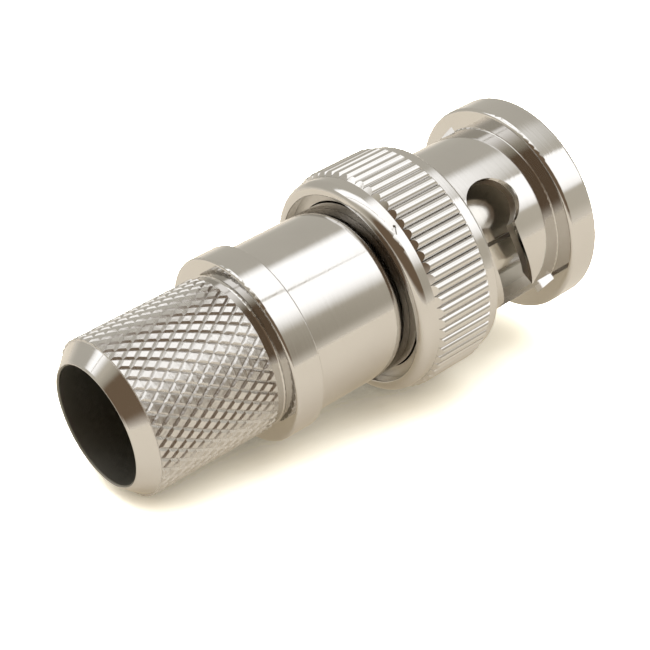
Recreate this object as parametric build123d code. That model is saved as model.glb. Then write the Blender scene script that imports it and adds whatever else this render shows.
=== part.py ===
from build123d import *
import math
import os

# Bayonet cable plug, standing on the front face of its coupling nut.
# The common axis is Z, the front face of the nut is at zero, and the cable end is up.
# Lengths are millimetres and angles are degrees.

# Named clearances
running_gap = 0.10
wide_gap = 0.15
end_gap = 0.02
seat_gap = 0.03

# Radii of the mating end, from the outer contact outwards; the flange comes to 14.5 mm across
sleeve_radius = 4.00
sleeve_wall = 0.50
mating_space = 0.93
neck_wall = 0.97
flange_rise = 1.35
sleeve_bore_radius = sleeve_radius - sleeve_wall
neck_bore_radius = sleeve_radius + mating_space
neck_radius = neck_bore_radius + neck_wall
flange_radius = neck_radius + flange_rise

# Radii of the cable end, from the cable's bore outwards
cable_bore_radius = 3.97
spigot_wall = 1.03
barrel_wall = 0.776
collar_rise = 0.484
spigot_radius = cable_bore_radius + spigot_wall
barrel_radius = spigot_radius + barrel_wall
collar_radius = barrel_radius + collar_rise

# Radii of the nut's rear half, from the washers in its cavity outwards
washer_width = 0.52
rim_wall = 0.81
knurl_wall = 0.73
flute_depth = 0.365
ring_rise = 0.09
washer_bore_radius = barrel_radius + running_gap
washer_outer_radius = washer_bore_radius + washer_width
cavity_radius = washer_outer_radius + wide_gap
rim_radius = cavity_radius + rim_wall
flute_root_radius = cavity_radius + knurl_wall
knurl_crest_radius = flute_root_radius + flute_depth
ring_radius = flute_root_radius + ring_rise

# Heights of the coupling nut, from its front face to its rear rim
flange_thickness = 2.27
neck_length = 6.83
ring_length = 0.85
knurl_length = 4.25
rim_length = 1.24
cavity_depth = 4.09
ring_front_z = flange_thickness + neck_length
knurl_front_z = ring_front_z + ring_length
rim_front_z = knurl_front_z + knurl_length
nut_length = rim_front_z + rim_length
shoulder_z = nut_length - cavity_depth

# Edges of the coupling nut
flange_edge_round = 0.25
flange_corner_round = 0.08
front_mouth_chamfer = 0.35
neck_fillet = 0.20
ring_edge_round = 0.18
rim_inner_round = 0.10
rim_land = 0.09
rim_round = rim_wall - rim_inner_round - rim_land

# Straight knurl of the coupling nut
flute_count = 60
flute_front_chamfer = 0.20
flute_end_chamfer = 0.34
flute_seat_depth = 0.23
crest_allowance = 0.01
root_clearance = 0.02
join_lap = 0.05

# Small slanted nick in the outside of the rear rim
nick_angle = 274.8
nick_rise = 0.42
nick_length = 0.65
nick_slant = 27.0
nick_radius = 0.10
nick_depth = 0.15

# Bayonet track: an axial entry groove, a cam ramp and a round locking hole, twice
groove_width = 2.4
groove_reach = 0.30
groove_end_back = 0.90
lock_turn = 83.85
lock_z = 6.35
lock_hole_radius = 1.80
lock_bevel = 0.16
lock_bevel_depth = 0.35
ramp_below_hole = 0.87
ramp_flat_from = 63.25
ramp_span = 52.0
ramp_fall = 1.50
ramp_power = 1.45
ramp_width = 2.60
ramp_step = 9.0
track_angles = (0.0, 180.0)
cut_below_bore = 0.50
cut_past_neck = 0.80
cut_past_end = 1.00
groove_end_z = lock_z - groove_end_back
ramp_front_z = lock_z - ramp_below_hole

# Retaining ring, a split ring sprung into a groove inside the rim of the nut
ring_groove_depth = 0.35
ring_depth = 0.82
ring_thickness = 0.62
ring_bore_gap = 0.08
ring_split_angle = 18.0
ring_split_at = 140.0
ring_face_z = nut_length - ring_depth
ring_low_z = ring_face_z - ring_thickness

# Heights of the plug body, from its flange inside the nut to the tip of its nose
body_flange_thickness = 0.83
floor_before_flange = 0.77
contact_guide_length = 2.00
contact_shank_length = 3.90
web_thickness = 1.50
rear_insulator_head = 1.20
spigot_length = 3.37
collar_length = 2.08
stem_relief_length = 0.65
stem_knurl_length = 8.57
nose_length = 1.08
body_flange_front_z = shoulder_z + end_gap
body_flange_rear_z = body_flange_front_z + body_flange_thickness
insulator_floor_z = body_flange_front_z - floor_before_flange
contact_step_z = insulator_floor_z + contact_guide_length
web_front_z = contact_step_z + contact_shank_length
web_rear_z = web_front_z + web_thickness
spigot_front_z = web_rear_z + rear_insulator_head
collar_front_z = spigot_front_z + spigot_length
collar_rear_z = collar_front_z + collar_length
stem_knurl_front_z = collar_rear_z + stem_relief_length
stem_knurl_rear_z = stem_knurl_front_z + stem_knurl_length
total_length = stem_knurl_rear_z + nose_length

# Front body
body_flange_radius = cavity_radius - wide_gap
web_bore_radius = 3.40
barrel_end_chamfer = 0.06

# Washers between the body flange and the retaining ring
thrust_thickness = 0.35
wave_strip = 0.30
wave_count = 3
wave_steps = 72

# Crimp stem with its collar, its diamond knurl and its nose
stem_wall = 0.83
stem_root_rise = 0.30
stem_pad_height = 0.10
stem_relief_rise = 0.23
nose_rise = 0.28
lip_width = 0.25
lip_drop = 0.10
collar_edge_round = 0.18
collar_front_round = 0.10
collar_corner_round = 0.13
stem_core_radius = cable_bore_radius + stem_wall
stem_root_radius = stem_core_radius + stem_root_rise
stem_crest_radius = stem_root_radius + stem_pad_height
stem_relief_radius = stem_core_radius + stem_relief_rise
nose_radius = stem_core_radius + nose_rise
lip_radius = cable_bore_radius + lip_width
stem_starts = 42
stem_half_rows = 14
stem_land = 0.60
core_lap = 0.03

# Outer contact, a sleeve with four sprung fingers
sleeve_reach = 9.77
sleeve_slit_length = 8.00
sleeve_slit_width = 0.32
sleeve_slit_first = 53.25
sleeve_slit_count = 4
sleeve_tip_chamfer = 0.25
sleeve_tip_round = 0.14
sleeve_front_z = body_flange_front_z - sleeve_reach
sleeve_slit_end_z = sleeve_front_z + sleeve_slit_length

# Sealing gasket in the bottom of the mating space
gasket_thickness = 1.00
gasket_inner_radius = sleeve_radius + end_gap
gasket_outer_radius = neck_bore_radius - wide_gap

# Insulators and centre contact
insulator_reach = 7.17
insulator_wall = 1.05
insulator_sheath = 1.60
contact_reach = 6.47
contact_radius = 0.675
contact_cup_wall = 0.50
contact_cup_depth = 4.60
contact_cup_drill = 0.60
contact_nose_length = 0.70
contact_nose_radius = 0.30
contact_nose_shoulder = 0.25
contact_nose_shoulder_radius = 0.55
insulator_mouth_radius = sleeve_bore_radius - insulator_wall
contact_body_radius = sleeve_bore_radius - insulator_sheath
contact_cup_radius = contact_body_radius - contact_cup_wall
insulator_front_z = body_flange_front_z - insulator_reach
contact_tip_z = body_flange_front_z - contact_reach
contact_cup_floor_z = spigot_front_z - contact_cup_depth

# How near an edge has to lie to count as found
edge_tolerance = 0.002


def turned(points):
    """Solid of revolution about Z from a closed outline of radius and height."""
    corners = [(radius, 0.0, height) for radius, height in points]
    face = make_face(Polyline(*corners, close=True))
    return revolve(face, Axis.Z, 360.0)


def circle_edges(solid, radius, height):
    """Edges of a turned solid that are circles of this radius at this height."""
    found = []
    for edge in solid.edges().filter_by(GeomType.CIRCLE):
        off_radius = abs(edge.radius - radius)
        off_height = abs(edge.arc_center.Z - height)
        if off_radius < edge_tolerance and off_height < edge_tolerance:
            found.append(edge)
    return found


def solid_from_triangles(triangles):
    """Closed solid from a list of corner triples."""
    faces = [Face(Wire.make_polygon(list(corners), close=True)) for corners in triangles]
    return Solid(Shell(faces))


def polar(radius, degrees, height):
    """Point at a radius, an angle from +X and a height."""
    turn = math.radians(degrees)
    return Vector(radius * math.cos(turn), radius * math.sin(turn), height)


def fluted_ring():
    """Straight knurl of the coupling nut, with its crests chamfered at both ends."""
    rear = rim_front_z + join_lap
    pitch = 360.0 / flute_count
    arcs = []
    for index in range(flute_count):
        middle = index * pitch
        start = polar(flute_root_radius, middle - pitch / 2.0, knurl_front_z)
        crest = polar(knurl_crest_radius, middle, knurl_front_z)
        end = polar(flute_root_radius, middle + pitch / 2.0, knurl_front_z)
        arcs.append(ThreePointArc(start, crest, end))
    star = make_face(Wire(arcs))
    prism = extrude(star, rear - knurl_front_z, dir=(0, 0, 1))
    seat = flute_root_radius - flute_seat_depth
    top = knurl_crest_radius + crest_allowance
    envelope = turned([
        (seat, knurl_front_z),
        (top - flute_front_chamfer, knurl_front_z),
        (top, knurl_front_z + flute_front_chamfer),
        (top, rear - flute_end_chamfer),
        (top - flute_end_chamfer, rear),
        (seat, rear),
    ])
    return prism & envelope


def ramp_edge(turn):
    """Height of the ramp's front edge at an angle from the entry groove."""
    if turn >= ramp_flat_from:
        return ramp_front_z
    return ramp_front_z - ramp_fall * ((ramp_flat_from - turn) / ramp_span) ** ramp_power


def track_cutter(at_angle):
    """Everything that the bayonet track removes from the neck, for one lug."""
    inner = neck_bore_radius - cut_below_bore
    outer = neck_radius + cut_past_neck
    groove_depth = neck_radius + groove_reach - inner
    groove = Pos(inner, 0, -cut_past_end) * Box(
        groove_depth, groove_width, groove_end_z + cut_past_end,
        align=(Align.MIN, Align.CENTER, Align.MIN))
    groove_end = Pos(inner, 0, groove_end_z) * Rot(0, 90, 0) * Cylinder(
        groove_width / 2.0, groove_depth,
        align=(Align.CENTER, Align.CENTER, Align.MIN))
    steps = round(lock_turn / ramp_step)
    sections = []
    for index in range(steps + 1):
        turn = lock_turn * index / steps
        front = ramp_edge(turn)
        rear = front + ramp_width
        corners = [polar(inner, turn, front), polar(outer, turn, front),
                   polar(outer, turn, rear), polar(inner, turn, rear)]
        sections.append(Face(Wire.make_polygon(corners, close=True)))
    ramp = loft(sections)
    hole = Rot(0, 0, lock_turn) * Pos(inner, 0, lock_z) * Rot(0, 90, 0) * Cylinder(
        lock_hole_radius, outer - inner,
        align=(Align.CENTER, Align.CENTER, Align.MIN))
    bevel = Rot(0, 0, lock_turn) * Pos(neck_radius - lock_bevel_depth, 0, lock_z) * Rot(0, 90, 0) * Cone(
        lock_hole_radius, lock_hole_radius + lock_bevel, lock_bevel_depth,
        align=(Align.CENTER, Align.CENTER, Align.MIN))
    cutter = groove + groove_end + ramp + hole + bevel
    return Rot(0, 0, at_angle) * cutter


def rim_nick():
    """Small dent in the rear rim, lying aslant to the rim's run."""
    out = rim_radius + nick_radius - nick_depth
    dent = Rot(90.0 - nick_slant, 0, 0) * Cylinder(nick_radius, nick_length)
    return Rot(0, 0, nick_angle) * Pos(out, 0, rim_front_z + nick_rise) * dent


def make_coupling_nut():
    """Coupling nut: front flange, neck with two bayonet tracks, straight knurl and rear rim."""
    under_flutes = flute_root_radius - root_clearance
    groove_radius = cavity_radius + ring_groove_depth
    blank = turned([
        (neck_bore_radius + front_mouth_chamfer, 0.0),
        (flange_radius, 0.0),
        (flange_radius, flange_thickness),
        (neck_radius, flange_thickness),
        (neck_radius, ring_front_z),
        (ring_radius, ring_front_z),
        (ring_radius, knurl_front_z + join_lap),
        (under_flutes, knurl_front_z + join_lap),
        (under_flutes, rim_front_z),
        (rim_radius, rim_front_z),
        (rim_radius, nut_length),
        (cavity_radius, nut_length),
        (cavity_radius, ring_face_z + end_gap),
        (groove_radius, ring_face_z + end_gap),
        (groove_radius, ring_low_z - end_gap),
        (cavity_radius, ring_low_z - end_gap),
        (cavity_radius, shoulder_z),
        (neck_bore_radius, shoulder_z),
        (neck_bore_radius, front_mouth_chamfer),
    ])
    blank = fillet(circle_edges(blank, flange_radius, 0.0), flange_edge_round)
    blank = fillet(circle_edges(blank, flange_radius, flange_thickness), flange_edge_round)
    blank = fillet(circle_edges(blank, ring_radius, ring_front_z), ring_edge_round)
    blank = fillet(circle_edges(blank, neck_radius, ring_front_z), neck_fillet)
    blank = fillet(circle_edges(blank, neck_radius, flange_thickness), flange_corner_round)
    blank = fillet(circle_edges(blank, rim_radius, nut_length), rim_round)
    blank = fillet(circle_edges(blank, cavity_radius, nut_length), rim_inner_round)
    for angle in track_angles:
        blank = blank - track_cutter(angle)
    blank = blank - rim_nick()
    return blank + fluted_ring()


def make_retaining_ring():
    """Split ring that holds the washers and the body flange inside the nut."""
    inner = barrel_radius + ring_bore_gap
    outer = cavity_radius + ring_groove_depth - end_gap
    corners = [(inner, 0, ring_low_z), (outer, 0, ring_low_z),
               (outer, 0, ring_face_z), (inner, 0, ring_face_z)]
    face = make_face(Polyline(*corners, close=True))
    ring = revolve(face, Axis.Z, 360.0 - ring_split_angle)
    return Rot(0, 0, ring_split_at) * ring


def make_thrust_washer():
    """Flat washer that the retaining ring turns against."""
    rear = ring_low_z - seat_gap
    return turned([
        (washer_bore_radius, rear - thrust_thickness),
        (washer_outer_radius, rear - thrust_thickness),
        (washer_outer_radius, rear),
        (washer_bore_radius, rear),
    ])


def make_wave_washer():
    """Wave washer: a flat strip ring bent into three waves."""
    low = body_flange_rear_z + end_gap
    high = ring_low_z - seat_gap - thrust_thickness - end_gap
    swing = (high - low - wave_strip) / 2.0
    rings = []
    for index in range(wave_steps):
        turn = 360.0 * index / wave_steps
        base = low + swing * (1.0 - math.cos(math.radians(wave_count * turn)))
        rings.append((polar(washer_bore_radius, turn, base),
                      polar(washer_outer_radius, turn, base),
                      polar(washer_outer_radius, turn, base + wave_strip),
                      polar(washer_bore_radius, turn, base + wave_strip)))
    triangles = []
    for index in range(wave_steps):
        here = rings[index]
        there = rings[(index + 1) % wave_steps]
        for side in range(4):
            follow = (side + 1) % 4
            triangles.append((here[side], here[follow], there[follow]))
            triangles.append((here[side], there[follow], there[side]))
    return solid_from_triangles(triangles)


def make_front_body():
    """Front body: flange inside the nut, smooth barrel, seats for the contact and the stem."""
    body = turned([
        (sleeve_radius, body_flange_front_z),
        (body_flange_radius, body_flange_front_z),
        (body_flange_radius, body_flange_rear_z),
        (barrel_radius, body_flange_rear_z),
        (barrel_radius, collar_front_z),
        (spigot_radius, collar_front_z),
        (spigot_radius, web_rear_z),
        (web_bore_radius, web_rear_z),
        (web_bore_radius, web_front_z),
        (sleeve_radius, web_front_z),
    ])
    return chamfer(circle_edges(body, barrel_radius, collar_front_z), barrel_end_chamfer)


def diamond_band():
    """Diamond knurl of the stem: flat-topped pads between two families of helical grooves."""
    half_turn = 180.0 / stem_starts
    half_row = stem_knurl_length / stem_half_rows
    columns = 2 * stem_starts

    def root(column, row):
        return polar(stem_root_radius, column * half_turn, stem_knurl_front_z + row * half_row)

    def crest(column, row, across, along):
        return polar(stem_crest_radius, (column + across) * half_turn,
                     stem_knurl_front_z + (row + along) * half_row)

    triangles = []
    front_edge = []
    rear_edge = []
    for row in range(stem_half_rows + 1):
        for column in range(row % 2, columns, 2):
            left = crest(column, row, -stem_land, 0.0)
            right = crest(column, row, stem_land, 0.0)
            root_left = root(column - 1, row)
            root_right = root(column + 1, row)
            if row < stem_half_rows:
                top = crest(column, row, 0.0, stem_land)
                root_top = root(column, row + 1)
                triangles += [(left, right, top), (right, root_right, root_top), (right, root_top, top),
                              (root_left, left, top), (root_left, top, root_top)]
            if row > 0:
                low = crest(column, row, 0.0, -stem_land)
                root_low = root(column, row - 1)
                triangles += [(right, left, low), (left, root_left, root_low), (left, root_low, low),
                              (root_right, right, low), (root_right, low, root_low)]
            if row == 0:
                front_edge += [root_left, left, right]
            if row == stem_half_rows:
                rear_edge += [root_left, left, right]
    faces = [Face(Wire.make_polygon(list(corners), close=True)) for corners in triangles]
    for edge_points, height in ((front_edge, stem_knurl_front_z), (rear_edge, stem_knurl_rear_z)):
        outline = Wire.make_polygon(edge_points, close=True)
        hole = Wire.make_circle(stem_core_radius, Plane((0, 0, height)))
        faces.append(Face(outline, [hole]))
    inside = Solid.make_cylinder(stem_core_radius, stem_knurl_length, Plane((0, 0, stem_knurl_front_z)))
    faces.append(inside.faces().filter_by(GeomType.CYLINDER)[0])
    return Solid(Shell(faces))


def make_crimp_stem():
    """Rear piece: spigot in the barrel, collar, knurled stem for the crimp and its nose."""
    under_pads = stem_core_radius + core_lap
    stem = turned([
        (cable_bore_radius, spigot_front_z),
        (spigot_radius, spigot_front_z),
        (spigot_radius, collar_front_z),
        (collar_radius, collar_front_z),
        (collar_radius, collar_rear_z),
        (stem_relief_radius, collar_rear_z),
        (stem_relief_radius, stem_knurl_front_z + join_lap),
        (under_pads, stem_knurl_front_z + join_lap),
        (under_pads, stem_knurl_rear_z - join_lap),
        (nose_radius, stem_knurl_rear_z - join_lap),
        (nose_radius, stem_knurl_rear_z),
        (lip_radius, total_length - lip_drop),
        (lip_radius - lip_drop, total_length),
        (cable_bore_radius + lip_drop, total_length),
        (cable_bore_radius, total_length - lip_drop),
    ])
    stem = fillet(circle_edges(stem, collar_radius, collar_rear_z), collar_edge_round)
    stem = fillet(circle_edges(stem, stem_relief_radius, collar_rear_z), collar_corner_round)
    stem = fillet(circle_edges(stem, collar_radius, collar_front_z), collar_front_round)
    return stem + diamond_band()


def make_contact_sleeve():
    """Outer contact: pressed into the front body, slit into sprung fingers at the front."""
    sleeve = turned([
        (sleeve_bore_radius + sleeve_tip_chamfer, sleeve_front_z),
        (sleeve_radius - sleeve_tip_round, sleeve_front_z),
        (sleeve_radius, sleeve_front_z + sleeve_tip_round),
        (sleeve_radius, web_front_z),
        (sleeve_bore_radius, web_front_z),
        (sleeve_bore_radius, sleeve_front_z + sleeve_tip_chamfer),
    ])
    slit_blank = Box(
        sleeve_radius + cut_past_end, sleeve_slit_width, sleeve_slit_length + cut_past_end,
        align=(Align.MIN, Align.CENTER, Align.MIN))
    for index in range(sleeve_slit_count):
        angle = sleeve_slit_first + 360.0 * index / sleeve_slit_count
        sleeve = sleeve - Rot(0, 0, angle) * Pos(0, 0, sleeve_front_z - cut_past_end) * slit_blank
    return sleeve


def make_gasket():
    """Rubber ring that the mating connector's front edge seals on."""
    return turned([
        (gasket_inner_radius, body_flange_front_z - gasket_thickness),
        (gasket_outer_radius, body_flange_front_z - gasket_thickness),
        (gasket_outer_radius, body_flange_front_z),
        (gasket_inner_radius, body_flange_front_z),
    ])


def make_front_insulator():
    """Front insulator: an open cup for the mating insulator, bored for the centre contact."""
    return turned([
        (insulator_mouth_radius, insulator_front_z),
        (sleeve_bore_radius, insulator_front_z),
        (sleeve_bore_radius, web_front_z),
        (contact_body_radius, web_front_z),
        (contact_body_radius, contact_step_z),
        (contact_radius, contact_step_z),
        (contact_radius, insulator_floor_z),
        (insulator_mouth_radius, insulator_floor_z),
    ])


def make_rear_insulator():
    """Rear insulator: a stepped bush that stands in the web of the front body."""
    return turned([
        (contact_body_radius, web_front_z),
        (web_bore_radius, web_front_z),
        (web_bore_radius, web_rear_z),
        (spigot_radius, web_rear_z),
        (spigot_radius, spigot_front_z),
        (contact_body_radius, spigot_front_z),
    ])


def make_centre_contact():
    """Centre contact: round-nosed pin in front, cup for the cable's wire behind."""
    return turned([
        (0.0, contact_tip_z),
        (contact_nose_radius, contact_tip_z),
        (contact_nose_shoulder_radius, contact_tip_z + contact_nose_shoulder),
        (contact_radius, contact_tip_z + contact_nose_length),
        (contact_radius, contact_step_z),
        (contact_body_radius, contact_step_z),
        (contact_body_radius, spigot_front_z),
        (contact_cup_radius, spigot_front_z),
        (contact_cup_radius, contact_cup_floor_z),
        (0.0, contact_cup_floor_z - contact_cup_drill),
    ])


pieces = {
    "coupling_nut": make_coupling_nut(),
    "retaining_ring": make_retaining_ring(),
    "thrust_washer": make_thrust_washer(),
    "wave_washer": make_wave_washer(),
    "front_body": make_front_body(),
    "crimp_stem": make_crimp_stem(),
    "contact_sleeve": make_contact_sleeve(),
    "sealing_gasket": make_gasket(),
    "front_insulator": make_front_insulator(),
    "rear_insulator": make_rear_insulator(),
    "centre_contact": make_centre_contact(),
}

os.makedirs("parts", exist_ok=True)
for node, shape in pieces.items():
    export_step(shape, "parts/" + node + ".step")
    print(node, round(shape.volume, 2), "mm3", len(shape.faces()), "faces")
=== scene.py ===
import math

import bpy
from mathutils import Matrix, Quaternion, Vector


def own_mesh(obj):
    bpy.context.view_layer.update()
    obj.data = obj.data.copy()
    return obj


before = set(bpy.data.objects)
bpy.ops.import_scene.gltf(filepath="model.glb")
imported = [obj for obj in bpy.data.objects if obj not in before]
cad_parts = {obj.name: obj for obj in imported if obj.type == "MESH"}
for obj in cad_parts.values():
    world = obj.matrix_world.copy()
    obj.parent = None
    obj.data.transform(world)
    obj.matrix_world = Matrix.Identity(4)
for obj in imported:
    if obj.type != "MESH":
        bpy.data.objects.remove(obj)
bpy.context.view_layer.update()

# Lengths here are in millimetres and angles in degrees
mm = 0.001

# Camera, rolled because the plug stands on its nut in its own frame and lies down in the photograph
camera_place = Vector((-16.40, -98.07, 73.53))
camera_target = Vector((-0.19, 7.25, 14.13))
camera_roll = -118.89
camera_lens = 99.4
camera_sensor = 36.0
camera_nearest = 5.0
camera_farthest = 10000.0

# Leaning floor that the plug lies on: upward direction, depth below the plug's axis, fading distances
floor_up = Vector((0.652, -0.748, -0.122)).normalized()
floor_drop = 9.29
floor_width = 300.0
floor_fade = (65.0, 125.0)

# Floor colours: as other things see it, as the camera sees it, and the glow added for camera and metal;
# the camera's colour is darkened near the plug as a painted contact shadow, within the reach below
floor_colour = (0.80, 0.78, 0.74)
floor_seen_colour = (5.3, 5.4, 5.2)
floor_seen_lift = (0.19, 0.176, 0.143)
floor_mirrored_lift = (0.32, 0.27, 0.19)
painted_shadow_reach = 10.0
painted_shadow_rays = 8

# Two softboxes overhead: edges to the right and away from the camera at a height of one, dark to bright
softbox_brightness = 1.70
softbox_left = (-2.6, -2.0)
front_box_near = (-0.55, -0.12)
front_box_slant = 0.10
front_box_far = (0.032, 0.018)
front_box_far_shift = 0.06
front_box_shift_at = (0.45, 0.70)
front_box_right = (2.9, 2.3)
rear_box_near = (0.055, 0.070)
rear_box_far = (0.70, 0.46)
rear_box_right = (0.84, 0.56)
rear_box_slant = 0.75
overhead_only = (0.04, 0.12)

# Room round the plug: the walls' colours from the camera's side to the far side, and the lit floor below
background_colour = (1.0, 1.0, 1.0)
lit_floor_colour = (0.98, 0.91, 0.80)
dark_room_colour = (0.20, 0.14, 0.09)
near_wall_colour = (0.47, 0.43, 0.35)
side_wall_colour = (0.66, 0.61, 0.51)
rear_wall_colour = (0.61, 0.58, 0.51)
dark_room_end = 0.265
near_wall_start = 0.315
side_wall_start = 0.385
rear_wall_start = 0.62
floor_horizon = (0.12, -0.20)

# Plated metal: how close its turning rings, waves and stains lie, and how high the marks stand
ring_closeness = (250.0, 250.0, 7000.0)
wave_closeness = 900.0
stain_closeness = 260.0
polish_change = (0.3, 0.7)
mark_height = 0.0010

# Crimp stem's diamond knurl: where it lies, and how worn and uneven it is
knurl_low = 25.25
knurl_high = 33.90
knurl_wear = 0.21
dent_closeness = 2600.0
dent_height = 0.03

# Bores of the coupling nut and the crimp stem: matt inside these radii, and darkened there as painted
# shade
jack_space_radius = 5.60
bore_wall_radius = 4.05

# Plastic and rubber: how close the clouds in their colour lie
cloud_closeness = 700.0


def camera_turn():
    """Rotation of the camera in the plug's frame."""
    forward = (camera_target - camera_place).normalized()
    return forward.to_track_quat("-Z", "Y") @ Quaternion((0, 0, 1), math.radians(camera_roll))


def add_camera():
    """The photograph's camera."""
    data = bpy.data.cameras.new("camera")
    data.lens = camera_lens
    data.sensor_width = camera_sensor
    data.clip_start = camera_nearest * mm
    data.clip_end = camera_farthest * mm
    camera = bpy.data.objects.new("camera", data)
    bpy.context.scene.collection.objects.link(camera)
    camera.location = camera_place * mm
    camera.rotation_mode = "QUATERNION"
    camera.rotation_quaternion = camera_turn()
    bpy.context.scene.camera = camera


def floor_axes():
    """Directions along the floor: to the camera's right, and away from the camera."""
    right = camera_turn() @ Vector((1, 0, 0))
    floor_right = (right - floor_up * right.dot(floor_up)).normalized()
    floor_away = floor_up.cross(floor_right)
    return floor_right, floor_away


def floor_placement():
    """The floor's place below the plug, with its right, away and up directions."""
    floor_right, floor_away = floor_axes()
    turn = Matrix((floor_right, floor_away, floor_up)).transposed()
    return Matrix.Translation(-floor_up * floor_drop * mm) @ turn.to_4x4()


def new_material(name):
    """Empty node material and its node tree."""
    material = bpy.data.materials.new(name)
    material.use_nodes = True
    material.node_tree.nodes.clear()
    return material, material.node_tree


def add_node(tree, kind, **values):
    """A node with some of its properties set."""
    node = tree.nodes.new(kind)
    for key, value in values.items():
        setattr(node, key, value)
    return node


def feed(tree, socket, value):
    """Link a socket to another, or set it to a number."""
    if isinstance(value, (int, float)):
        socket.default_value = value
    else:
        tree.links.new(value, socket)


def fed_by(socket):
    """The socket that now feeds this one."""
    return socket.links[0].from_socket


def calculate(tree, operation, first, second):
    """Result of a sum on two numbers or sockets."""
    node = add_node(tree, "ShaderNodeMath", operation=operation)
    feed(tree, node.inputs[0], first)
    feed(tree, node.inputs[1], second)
    return node.outputs[0]


def all_of(tree, shares):
    """Product of several shares."""
    result = shares[0]
    for share in shares[1:]:
        result = calculate(tree, "MULTIPLY", result, share)
    return result


def along_direction(tree, vector, direction):
    """How far a vector reaches in one direction."""
    node = add_node(tree, "ShaderNodeVectorMath", operation="DOT_PRODUCT")
    node.inputs[1].default_value = direction
    tree.links.new(vector, node.inputs[0])
    return node.outputs["Value"]


def length_of(tree, vector):
    """Length of a vector."""
    node = add_node(tree, "ShaderNodeVectorMath", operation="LENGTH")
    tree.links.new(vector, node.inputs[0])
    return node.outputs["Value"]


def carry_over(tree, value, old, new, kind="LINEAR"):
    """A value carried over from one range to another."""
    node = add_node(tree, "ShaderNodeMapRange", interpolation_type=kind)
    node.inputs["From Min"].default_value = old[0]
    node.inputs["From Max"].default_value = old[1]
    node.inputs["To Min"].default_value = new[0]
    node.inputs["To Max"].default_value = new[1]
    tree.links.new(value, node.inputs["Value"])
    return node.outputs["Result"]


def soft_edge(tree, value, edge):
    """Nought before an edge and one after it, with a soft change between its two ends."""
    return carry_over(tree, value, edge, (0.0, 1.0), "SMOOTHSTEP")


def blend_colour(tree, share, first, second):
    """Mix of two colours, each a socket or red, green and blue values."""
    node = add_node(tree, "ShaderNodeMix", data_type="RGBA")
    tree.links.new(share, node.inputs[0])
    for socket, colour in ((node.inputs[6], first), (node.inputs[7], second)):
        if isinstance(colour, tuple):
            socket.default_value = (*colour, 1.0)
        else:
            tree.links.new(colour, socket)
    return node.outputs[2]


def own_place(tree):
    """Each point's place in the piece's own coordinates."""
    return add_node(tree, "ShaderNodeTexCoord").outputs["Object"]


def random_pattern(tree, place, closeness, detail):
    """Soft random pattern through a piece."""
    node = add_node(tree, "ShaderNodeTexNoise")
    node.inputs["Scale"].default_value = closeness
    node.inputs["Detail"].default_value = detail
    tree.links.new(place, node.inputs["Vector"])
    return node.outputs["Fac"]


def add_relief(tree, pattern, height, share=1.0, over=None):
    """Fine relief made from a pattern, laid over another relief if there is one."""
    node = add_node(tree, "ShaderNodeBump")
    node.inputs["Distance"].default_value = height * mm
    feed(tree, node.inputs["Strength"], share)
    tree.links.new(pattern, node.inputs["Height"])
    if over is not None:
        tree.links.new(over, node.inputs["Normal"])
    return node.outputs["Normal"]


def floor_paper(tree):
    """Pale floor that burns out to white for the camera; its warm shadow under the plug is partly real
    and partly painted shade, an ambient-occlusion darkening of the camera's floor colour.
    """
    link = tree.links.new
    rays = add_node(tree, "ShaderNodeLightPath")
    seen = rays.outputs["Is Camera Ray"]
    # Ambient occlusion darkens the camera's floor colour near the plug: a painted contact shadow
    contact = add_node(tree, "ShaderNodeAmbientOcclusion", samples=painted_shadow_rays)
    contact.inputs["Color"].default_value = (*floor_seen_colour, 1.0)
    contact.inputs["Distance"].default_value = painted_shadow_reach * mm
    paper = add_node(tree, "ShaderNodeBsdfDiffuse")
    link(blend_colour(tree, seen, floor_colour, contact.outputs["Color"]), paper.inputs["Color"])
    lift = add_node(tree, "ShaderNodeEmission")
    link(blend_colour(tree, seen, floor_mirrored_lift, floor_seen_lift), lift.inputs["Color"])
    link(calculate(tree, "MAXIMUM", seen, rays.outputs["Is Glossy Ray"]), lift.inputs["Strength"])
    both = add_node(tree, "ShaderNodeAddShader")
    link(paper.outputs[0], both.inputs[0])
    link(lift.outputs[0], both.inputs[1])
    return both.outputs[0]


def floor_gone(tree):
    """One where the floor can't be seen: from below, and well away from the plug."""
    from_plug = length_of(tree, own_place(tree))
    fade_near, fade_far = floor_fade
    faded = soft_edge(tree, from_plug, (fade_near * mm, fade_far * mm))
    side = add_node(tree, "ShaderNodeNewGeometry")
    return calculate(tree, "MAXIMUM", side.outputs["Backfacing"], faded)


def add_floor():
    """Pale one-sided floor that keeps the plug's shadow, deepened near the plug by painted shade, and
    fades out well beyond it.
    """
    bpy.ops.object.select_all(action="DESELECT")
    bpy.ops.mesh.primitive_plane_add(size=floor_width * mm)
    floor = bpy.context.object
    floor.name = "floor"
    floor.matrix_world = floor_placement()
    material, tree = new_material("pale_floor")
    link = tree.links.new
    clear = add_node(tree, "ShaderNodeBsdfTransparent")
    mix = add_node(tree, "ShaderNodeMixShader")
    link(floor_gone(tree), mix.inputs[0])
    link(floor_paper(tree), mix.inputs[1])
    link(clear.outputs[0], mix.inputs[2])
    output = add_node(tree, "ShaderNodeOutputMaterial")
    link(mix.outputs[0], output.inputs["Surface"])
    floor.data.materials.append(material)


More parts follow.
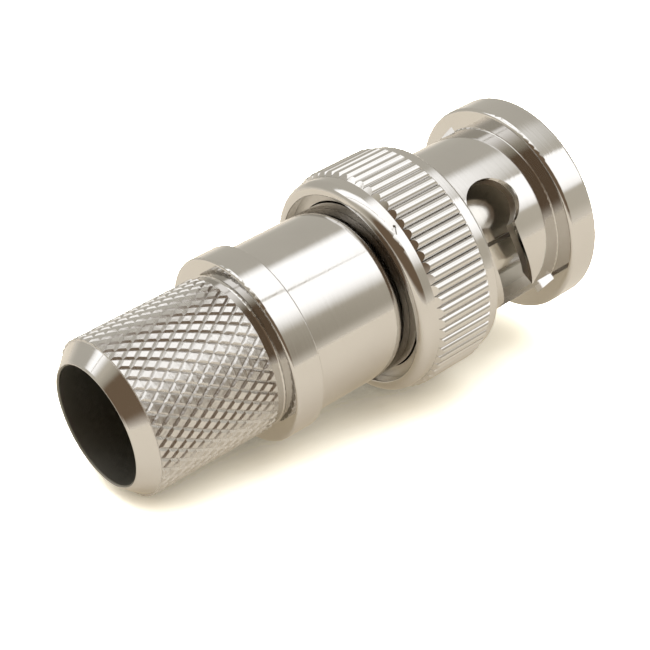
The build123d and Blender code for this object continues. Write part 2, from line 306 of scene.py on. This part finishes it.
def softbox_share(tree, across, depth, height):
    """How much of the view in a direction is filled by one of the two softboxes."""
    right = calculate(tree, "DIVIDE", across, height)
    away = calculate(tree, "DIVIDE", depth, height)
    from_left = soft_edge(tree, right, softbox_left)
    shift = calculate(tree, "MULTIPLY", soft_edge(tree, right, front_box_shift_at), front_box_far_shift)
    nearness = calculate(tree, "ADD", away, calculate(tree, "MULTIPLY", right, front_box_slant))
    front = all_of(tree, [
        soft_edge(tree, nearness, front_box_near),
        soft_edge(tree, calculate(tree, "SUBTRACT", away, shift), front_box_far),
        soft_edge(tree, right, front_box_right),
    ])
    slanted = calculate(tree, "ADD", right, calculate(tree, "MULTIPLY", away, rear_box_slant))
    rear = all_of(tree, [
        soft_edge(tree, away, rear_box_near),
        soft_edge(tree, away, rear_box_far),
        soft_edge(tree, slanted, rear_box_right),
    ])
    either = calculate(tree, "MAXIMUM", front, rear)
    return all_of(tree, [either, from_left, soft_edge(tree, height, overhead_only)])


def wall_colours(tree, depth):
    """Colour of the room's walls, from the dark side by the camera to the far side."""
    walls = add_node(tree, "ShaderNodeValToRGB")
    tree.links.new(carry_over(tree, depth, (-1.0, 1.0), (0.0, 1.0)), walls.inputs["Fac"])
    stops = walls.color_ramp.elements
    stops.remove(stops[1])
    stops[0].position = dark_room_end
    stops[0].color = (*dark_room_colour, 1.0)
    stops.new(near_wall_start).color = (*near_wall_colour, 1.0)
    stops.new(side_wall_start).color = (*side_wall_colour, 1.0)
    stops.new(rear_wall_start).color = (*rear_wall_colour, 1.0)
    return walls.outputs["Color"]


def add_room():
    """World: white for the camera; softboxes, walls, a dark near side and a lit floor for the metal."""
    world = bpy.data.worlds.new("room")
    bpy.context.scene.world = world
    world.use_nodes = True
    tree = world.node_tree
    tree.nodes.clear()
    where = add_node(tree, "ShaderNodeTexCoord").outputs["Generated"]
    floor_right, floor_away = floor_axes()
    across = along_direction(tree, where, floor_right)
    depth = along_direction(tree, where, floor_away)
    height = along_direction(tree, where, floor_up)
    below = soft_edge(tree, height, floor_horizon)
    room = blend_colour(tree, below, wall_colours(tree, depth), lit_floor_colour)
    bright_box = (softbox_brightness, softbox_brightness, softbox_brightness)
    room = blend_colour(tree, softbox_share(tree, across, depth, height), room, bright_box)
    rays = add_node(tree, "ShaderNodeLightPath")
    shown = blend_colour(tree, rays.outputs["Is Camera Ray"], room, background_colour)
    light = add_node(tree, "ShaderNodeBackground")
    light.inputs["Strength"].default_value = 1.0
    output = add_node(tree, "ShaderNodeOutputWorld")
    tree.links.new(shown, light.inputs["Color"])
    tree.links.new(light.outputs[0], output.inputs["Surface"])


def plated_metal(name, dull, clean, roughness, anisotropy):
    """Plated turned metal: fine rings left by turning, faint waviness and uneven polish."""
    material, tree = new_material(name)
    link = tree.links.new
    where = own_place(tree)
    squeezed = add_node(tree, "ShaderNodeMapping")
    squeezed.inputs["Scale"].default_value = ring_closeness
    link(where, squeezed.inputs["Vector"])
    rings = random_pattern(tree, squeezed.outputs["Vector"], closeness=1.0, detail=3.0)
    waves = random_pattern(tree, where, wave_closeness, detail=2.0)
    stains = random_pattern(tree, where, stain_closeness, detail=5.0)
    relief = add_relief(tree, rings, mark_height)
    relief = add_relief(tree, waves, mark_height, over=relief)
    round_axis = add_node(tree, "ShaderNodeTangent", direction_type="RADIAL", axis="Z")
    metal = add_node(tree, "ShaderNodeBsdfPrincipled", name="metal")
    metal.inputs["Metallic"].default_value = 1.0
    metal.inputs["Anisotropic"].default_value = anisotropy
    link(blend_colour(tree, stains, dull, clean), metal.inputs["Base Color"])
    link(carry_over(tree, rings, polish_change, roughness), metal.inputs["Roughness"])
    link(relief, metal.inputs["Normal"])
    link(round_axis.outputs["Tangent"], metal.inputs["Tangent"])
    output = add_node(tree, "ShaderNodeOutputMaterial")
    link(metal.outputs[0], output.inputs["Surface"])
    return material


def matt_bore_with_painted_shade(material, radius, roughness, colour):
    """Make plated metal matt nearer to the axis than this radius, as a drilled bore is, and darker there
    as painted shade in the bore.
    """
    tree = material.node_tree
    metal = tree.nodes["metal"]
    flat = add_node(tree, "ShaderNodeVectorMath", operation="MULTIPLY")
    flat.inputs[1].default_value = (1.0, 1.0, 0.0)
    tree.links.new(own_place(tree), flat.inputs[0])
    inside = calculate(tree, "LESS_THAN", length_of(tree, flat.outputs[0]), radius * mm)
    matt = calculate(tree, "MULTIPLY", inside, roughness)
    rougher = calculate(tree, "MAXIMUM", fed_by(metal.inputs["Roughness"]), matt)
    # Darker base colour inside the bore: painted shade
    darker = blend_colour(tree, inside, fed_by(metal.inputs["Base Color"]), colour)
    tree.links.new(rougher, metal.inputs["Roughness"])
    tree.links.new(darker, metal.inputs["Base Color"])


def wear_knurl(material):
    """Softer, slightly uneven metal on the crimp stem's pressed diamond knurl."""
    tree = material.node_tree
    metal = tree.nodes["metal"]
    where = own_place(tree)
    height = along_direction(tree, where, (0.0, 0.0, 1.0))
    on_knurl = all_of(tree, [
        calculate(tree, "GREATER_THAN", height, knurl_low * mm),
        calculate(tree, "LESS_THAN", height, knurl_high * mm),
    ])
    wear = calculate(tree, "MULTIPLY", on_knurl, knurl_wear)
    rougher = calculate(tree, "ADD", fed_by(metal.inputs["Roughness"]), wear)
    dents = random_pattern(tree, where, dent_closeness, detail=2.0)
    uneven = add_relief(tree, dents, dent_height, share=on_knurl, over=fed_by(metal.inputs["Normal"]))
    tree.links.new(rougher, metal.inputs["Roughness"])
    tree.links.new(uneven, metal.inputs["Normal"])


def moulded_material(name, low_colour, high_colour, roughness, grain):
    """Turned plastic or moulded rubber: matt, with a faint grain and cloudy colour."""
    material, tree = new_material(name)
    link = tree.links.new
    clouds = random_pattern(tree, own_place(tree), cloud_closeness, detail=4.0)
    body = add_node(tree, "ShaderNodeBsdfPrincipled")
    body.inputs["Roughness"].default_value = roughness
    link(blend_colour(tree, clouds, low_colour, high_colour), body.inputs["Base Color"])
    link(add_relief(tree, clouds, grain), body.inputs["Normal"])
    output = add_node(tree, "ShaderNodeOutputMaterial")
    link(body.outputs[0], output.inputs["Surface"])
    return material


def nickel_plate(name):
    """Bright nickel plate, as on the outside of the plug."""
    return plated_metal(name, dull=(0.60, 0.585, 0.565), clean=(0.67, 0.655, 0.635),
                        roughness=(0.05, 0.11), anisotropy=0.35)


def give_material(node, material):
    """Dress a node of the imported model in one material."""
    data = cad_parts[node].data
    data.materials.clear()
    data.materials.append(material)


def dress_nodes():
    """Materials of all the solid pieces."""
    body_nickel = nickel_plate("nickel_plate")
    nut_nickel = nickel_plate("nut_nickel")
    # The bores' darker colours here are painted shade; their roughness is the matt finish
    matt_bore_with_painted_shade(nut_nickel, jack_space_radius, roughness=0.40, colour=(0.56, 0.53, 0.48))
    stem_nickel = nickel_plate("stem_nickel")
    wear_knurl(stem_nickel)
    matt_bore_with_painted_shade(stem_nickel, bore_wall_radius, roughness=0.55, colour=(0.31, 0.30, 0.265))
    sleeve_nickel = plated_metal("sleeve_nickel", dull=(0.58, 0.56, 0.52), clean=(0.66, 0.64, 0.60),
                                 roughness=(0.15, 0.22), anisotropy=0.20)
    steel = plated_metal("spring_steel", dull=(0.58, 0.56, 0.53), clean=(0.66, 0.64, 0.61),
                         roughness=(0.30, 0.42), anisotropy=0.30)
    gold = plated_metal("gold_plate", dull=(0.86, 0.58, 0.24), clean=(0.95, 0.70, 0.34),
                        roughness=(0.14, 0.22), anisotropy=0.30)
    insulator = moulded_material("white_insulator", low_colour=(0.80, 0.80, 0.78),
                                 high_colour=(0.88, 0.88, 0.86), roughness=0.42, grain=0.004)
    rubber = moulded_material("seal_rubber", low_colour=(0.025, 0.025, 0.025),
                              high_colour=(0.045, 0.045, 0.045), roughness=0.62, grain=0.010)
    give_material("front_body", body_nickel)
    give_material("coupling_nut", nut_nickel)
    give_material("crimp_stem", stem_nickel)
    give_material("contact_sleeve", sleeve_nickel)
    for node in ("retaining_ring", "thrust_washer", "wave_washer"):
        give_material(node, steel)
    for node in ("front_insulator", "rear_insulator"):
        give_material(node, insulator)
    give_material("centre_contact", gold)
    give_material("sealing_gasket", rubber)


def let_spring_give():
    """Give the wave washer its own copy of its mesh."""
    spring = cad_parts["wave_washer"]
    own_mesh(spring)


bpy.context.scene.view_settings.view_transform = "Standard"
add_camera()
add_floor()
add_room()
dress_nodes()
let_spring_give()
